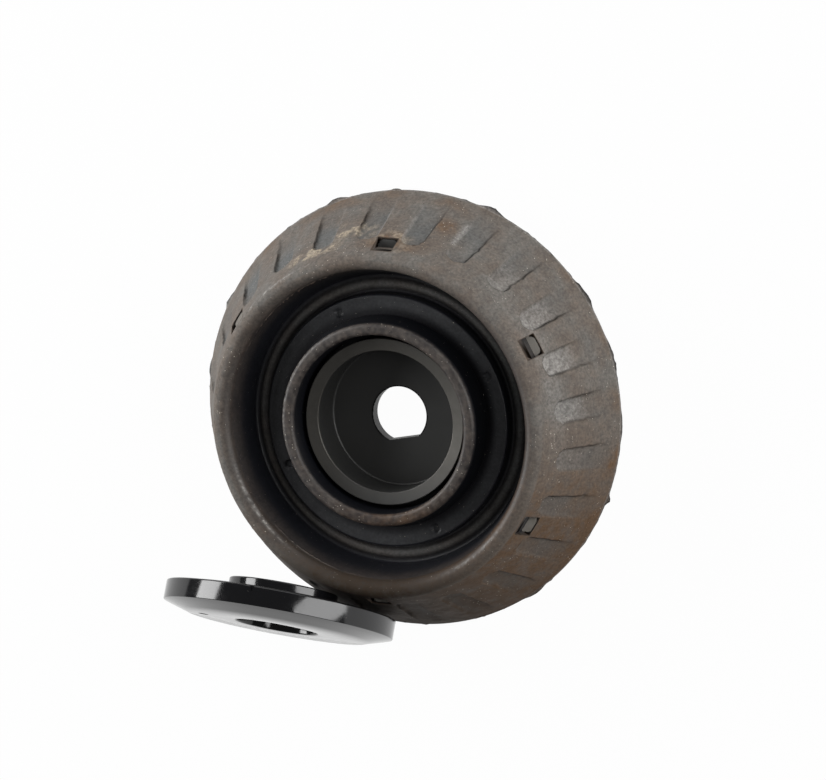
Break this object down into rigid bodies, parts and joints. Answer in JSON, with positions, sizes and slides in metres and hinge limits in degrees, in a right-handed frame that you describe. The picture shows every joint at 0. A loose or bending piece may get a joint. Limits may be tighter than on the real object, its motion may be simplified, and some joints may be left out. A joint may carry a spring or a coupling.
{
  "type": "strut mount",
  "caption": "Fluted conical rubber strut mount on a steel armature, with a steel rod cup with a D-shaped hole, and its ball thrust bearing leaning beside it.",
  "frame": {"origin": "on the mount's axis, level with the underside of the rod cup, where the rod's hole begins", "axes": "+Z along the mount's axis, from the wide bearing seat to the small open end; the hole's flat faces -Y, turned 9 degrees towards +X"},
  "size_m": [0.1138, 0.1164, 0.0569],
  "materials": {
    "moulded_rubber": "matte, dusty",
    "armature_steel": "dull",
    "cup_steel": "satin, phosphated",
    "cap_plastic": "glossy",
    "race_steel": "ground",
    "cage_plastic": "matte",
    "ball_steel": "polished"
  },
  "bodies": {
    "mount": {"rubber_body": "moulded_rubber", "armature": "armature_steel", "rod_cup": "cup_steel", "lower_bearing_cap": "cap_plastic", "lower_race": "race_steel"},
    "bearing_upper_half": {"upper_bearing_cap": "cap_plastic", "upper_race": "race_steel"},
    "ball_set": {"ball_cage": "cage_plastic", "ball_01": "ball_steel", "ball_02": "ball_steel", "ball_03": "ball_steel", "ball_04": "ball_steel", "ball_05": "ball_steel", "ball_06": "ball_steel", "ball_07": "ball_steel", "ball_08": "ball_steel", "ball_09": "ball_steel", "ball_10": "ball_steel", "ball_11": "ball_steel", "ball_12": "ball_steel", "ball_13": "ball_steel", "ball_14": "ball_steel", "ball_15": "ball_steel", "ball_16": "ball_steel", "ball_17": "ball_steel", "ball_18": "ball_steel", "ball_19": "ball_steel", "ball_20": "ball_steel", "ball_21": "ball_steel", "ball_22": "ball_steel", "ball_23": "ball_steel", "ball_24": "ball_steel"}
  },
  "joints": [
    {"name": "bearing_turn", "type": "hinge", "parent": "mount", "child": "bearing_upper_half", "pos_m": [-0.02902, -0.04936, 0.01678], "axis": [-0.0988, -0.9398, 0.3272], "continuous": true},
    {"name": "ball_set_turn", "type": "hinge", "parent": "mount", "child": "ball_set", "pos_m": [-0.02902, -0.04936, 0.01678], "axis": [-0.0988, -0.9398, 0.3272], "continuous": true}
  ],
  "couplings": [
    {"joint": "ball_set_turn", "follows": "bearing_turn", "ratio": 0.5}
  ]
}
